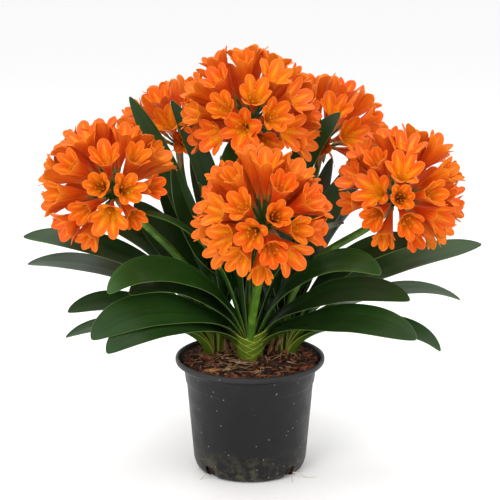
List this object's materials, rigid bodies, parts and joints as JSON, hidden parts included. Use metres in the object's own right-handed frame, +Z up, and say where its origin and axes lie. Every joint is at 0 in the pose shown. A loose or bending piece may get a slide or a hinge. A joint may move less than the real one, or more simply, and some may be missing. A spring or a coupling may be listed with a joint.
{
  "type": "clivia",
  "caption": "Flowering clivia in a round nursery pot: strap leaves in fans, orange flower heads on stalks, bark potting mix.",
  "frame": {"origin": "centre of the pot's flat base, on the surface it stands on", "axes": "+Z up along the pot's axis, -Y towards the front flower head, +X to the right seen from the front"},
  "size_m": [0.6101, 0.5088, 0.5767],
  "materials": {
    "pot_plastic": "injection-moulded black plastic, satin, dusty",
    "bark_mix": "damp bark and peat, rough",
    "root_crown": "pale leaf bases on the short stem, satin",
    "leaf": "thick waxy leaf, satin, fine lengthwise veins",
    "stalk": "smooth fleshy stalk, satin",
    "petal": "soft orange petals with a yellow throat"
  },
  "bodies": {
    "root": {"flower_head_back_left": "petal", "flower_head_back_right": "petal", "flower_head_front": "petal", "flower_head_left": "petal", "flower_head_right": "petal", "flower_head_top": "petal", "flower_stalk_back_left": "stalk", "flower_stalk_back_right": "stalk", "flower_stalk_front": "stalk", "flower_stalk_left": "stalk", "flower_stalk_right": "stalk", "flower_stalk_top": "stalk", "leaf_back_1": "leaf", "leaf_back_2": "leaf", "leaf_back_3": "leaf", "leaf_back_4": "leaf", "leaf_back_5": "leaf", "leaf_back_6": "leaf", "leaf_back_inner_1": "leaf", "leaf_front_left_1": "leaf", "leaf_front_left_2": "leaf", "leaf_front_left_3": "leaf", "leaf_front_left_4": "leaf", "leaf_front_left_5": "leaf", "leaf_front_left_6": "leaf", "leaf_front_right_1": "leaf", "leaf_front_right_2": "leaf", "leaf_front_right_3": "leaf", "leaf_front_right_4": "leaf", "leaf_front_right_5": "leaf", "leaf_left_1": "leaf", "leaf_left_2": "leaf", "leaf_left_3": "leaf", "leaf_left_4": "leaf", "leaf_left_5": "leaf", "leaf_left_6": "leaf", "leaf_left_inner_1": "leaf", "leaf_left_inner_2": "leaf", "leaf_left_inner_3": "leaf", "leaf_left_inner_4": "leaf", "leaf_right_1": "leaf", "leaf_right_2": "leaf", "leaf_right_3": "leaf", "leaf_right_4": "leaf", "leaf_right_5": "leaf", "leaf_right_6": "leaf", "leaf_right_inner_1": "leaf", "leaf_right_inner_2": "leaf", "leaf_right_inner_3": "leaf", "pot": "pot_plastic", "potting_mix": "bark_mix", "root_crown_back": "root_crown", "root_crown_front": "root_crown", "root_crown_left": "root_crown", "root_crown_right": "root_crown"}
  },
  "joints": []
}
